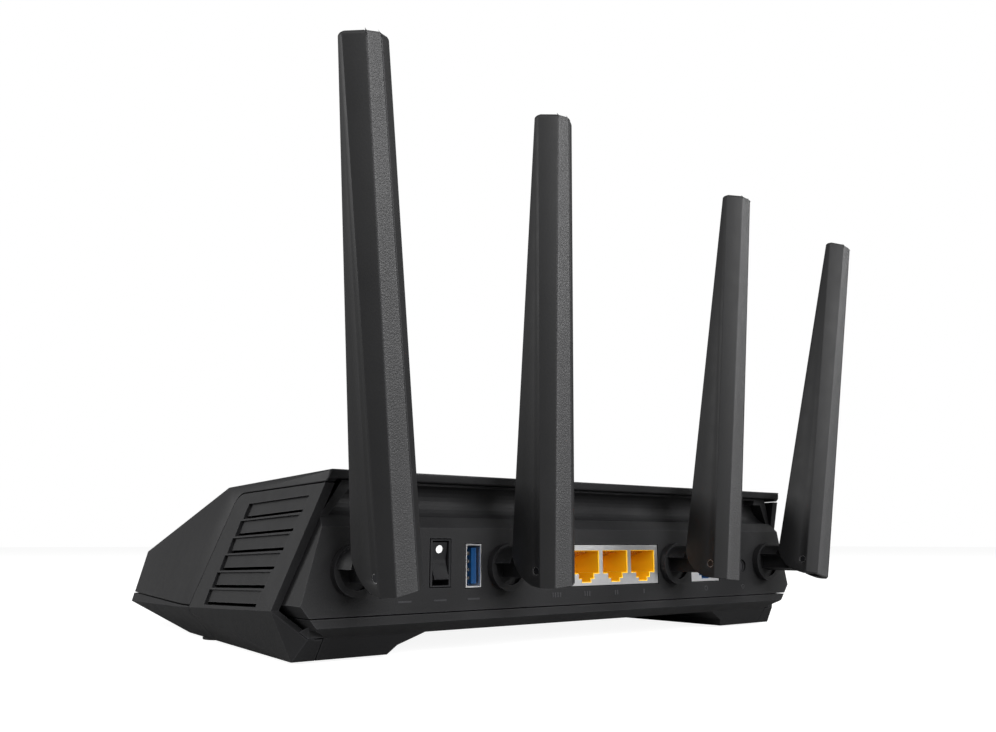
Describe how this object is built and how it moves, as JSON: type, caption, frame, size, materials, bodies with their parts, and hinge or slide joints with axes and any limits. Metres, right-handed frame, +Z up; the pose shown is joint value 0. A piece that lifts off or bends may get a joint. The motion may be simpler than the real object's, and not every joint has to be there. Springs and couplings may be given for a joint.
{
  "type": "wireless router",
  "caption": "Desktop wireless router with a wedge-shaped black housing, a rear row of sockets, a rocker switch and folding, swivelling blade antennas.",
  "frame": {"origin": "on the table under the middle of the whole object's box, antennas at rest", "axes": "+Z up, +Y from the nose towards the rear panel, +X towards the power inlet side"},
  "size_m": [0.2636, 0.2292, 0.162],
  "materials": {
    "case_plastic": "fine moulded texture",
    "blade_plastic": "smooth satin",
    "blade_grain": "coarse grain",
    "rubber": "matte",
    "label": "plain blank label",
    "lens": "frosted",
    "board": "solder mask",
    "plated_steel": "nickel plated",
    "dark_steel": "blackened",
    "chip_plastic": "moulded",
    "pad_rubber": "soft",
    "heatsink_aluminium": "anodised",
    "yellow_plastic": "moulded",
    "blue_plastic": "moulded",
    "gold_contacts": "gold plated",
    "switch_plastic": "satin",
    "white_paint": "printed",
    "button_plastic": "moulded",
    "lead_jacket": "thin jacket"
  },
  "bodies": {
    "housing": {"top_cover": "case_plastic", "side_panel_left": "case_plastic", "side_panel_right": "case_plastic", "rear_panel": "case_plastic", "bottom_case": "case_plastic", "rubber_feet": "rubber", "rating_label": "label", "status_lens": "lens", "main_board": "board", "board_screws": "plated_steel", "case_screws": "plated_steel", "processor_chips": "chip_plastic", "rf_shield_cans": "plated_steel", "thermal_pads": "pad_rubber", "heatsink": "heatsink_aluminium", "capacitors": "heatsink_aluminium", "inductors": "chip_plastic", "lan_magnetics": "chip_plastic", "lan_shield": "plated_steel", "lan_insert_1": "yellow_plastic", "lan_insert_2": "yellow_plastic", "lan_insert_3": "yellow_plastic", "lan_insert_4": "yellow_plastic", "lan_contacts": "gold_contacts", "wan_shield": "plated_steel", "wan_insert": "blue_plastic", "wan_contacts": "gold_contacts", "usb_shell": "plated_steel", "usb_tongue": "blue_plastic", "usb_contacts": "gold_contacts", "inlet_body": "chip_plastic", "inlet_pin": "plated_steel", "switch_frame": "switch_plastic", "reset_switch": "chip_plastic", "coax_leads": "lead_jacket", "coax_plugs": "gold_contacts", "swivel_clips": "plated_steel"},
    "swivel_1": {"barrel_1": "case_plastic"},
    "antenna_1": {"hinge_pin_1": "dark_steel", "blade_shell_1": "blade_plastic", "blade_cover_1": "blade_grain", "element_1": "board"},
    "swivel_2": {"barrel_2": "case_plastic"},
    "antenna_2": {"hinge_pin_2": "dark_steel", "blade_shell_2": "blade_plastic", "blade_cover_2": "blade_grain", "element_2": "board"},
    "swivel_3": {"barrel_3": "case_plastic"},
    "antenna_3": {"hinge_pin_3": "dark_steel", "blade_shell_3": "blade_plastic", "blade_cover_3": "blade_grain", "element_3": "board"},
    "swivel_4": {"barrel_4": "case_plastic"},
    "antenna_4": {"hinge_pin_4": "dark_steel", "blade_shell_4": "blade_plastic", "blade_cover_4": "blade_grain", "element_4": "board"},
    "rocker": {"switch_rocker": "switch_plastic", "rocker_dot": "white_paint"},
    "reset": {"reset_button": "button_plastic"}
  },
  "joints": [
    {"name": "swivel_1_turn", "type": "hinge", "parent": "housing", "child": "swivel_1", "pos_m": [0.0947, 0.05943, 0.0256], "axis": [0, 1, 0], "range_deg": [-20, 76]},
    {"name": "antenna_1_fold", "type": "hinge", "parent": "swivel_1", "child": "antenna_1", "pos_m": [0.0947, 0.08213, 0.0256], "axis": [-0.974, 0, 0.2267], "range_deg": [-11.8, 78.2]},
    {"name": "swivel_2_turn", "type": "hinge", "parent": "housing", "child": "swivel_2", "pos_m": [0.0398, 0.05943, 0.0256], "axis": [0, 1, 0], "range_deg": [-18, 18]},
    {"name": "antenna_2_fold", "type": "hinge", "parent": "swivel_2", "child": "antenna_2", "pos_m": [0.0398, 0.08213, 0.0256], "axis": [-0.9968, 0, 0.0802], "range_deg": [-6.1, 83.9]},
    {"name": "swivel_3_turn", "type": "hinge", "parent": "housing", "child": "swivel_3", "pos_m": [-0.0398, 0.05943, 0.0256], "axis": [0, 1, 0], "range_deg": [-18, 18]},
    {"name": "antenna_3_fold", "type": "hinge", "parent": "swivel_3", "child": "antenna_3", "pos_m": [-0.0398, 0.08213, 0.0256], "axis": [-0.9968, 0, -0.0802], "range_deg": [-2.3, 87.7]},
    {"name": "swivel_4_turn", "type": "hinge", "parent": "housing", "child": "swivel_4", "pos_m": [-0.0947, 0.05943, 0.0256], "axis": [0, 1, 0], "range_deg": [-76, 20]},
    {"name": "antenna_4_fold", "type": "hinge", "parent": "swivel_4", "child": "antenna_4", "pos_m": [-0.0947, 0.08213, 0.0256], "axis": [-0.974, 0, -0.2267], "range_deg": [-0.6, 89.4]},
    {"name": "power_rocker_tip", "type": "hinge", "parent": "housing", "child": "rocker", "pos_m": [0.0649, 0.05423, 0.0272], "axis": [-1, 0, 0], "range_deg": [0, 14]},
    {"name": "reset_press", "type": "slide", "parent": "housing", "child": "reset", "axis": [0, -1, 0], "range_m": [0, 0.0008], "stiffness_N_per_m": 200, "springref_m": -0.0005}
  ]
}
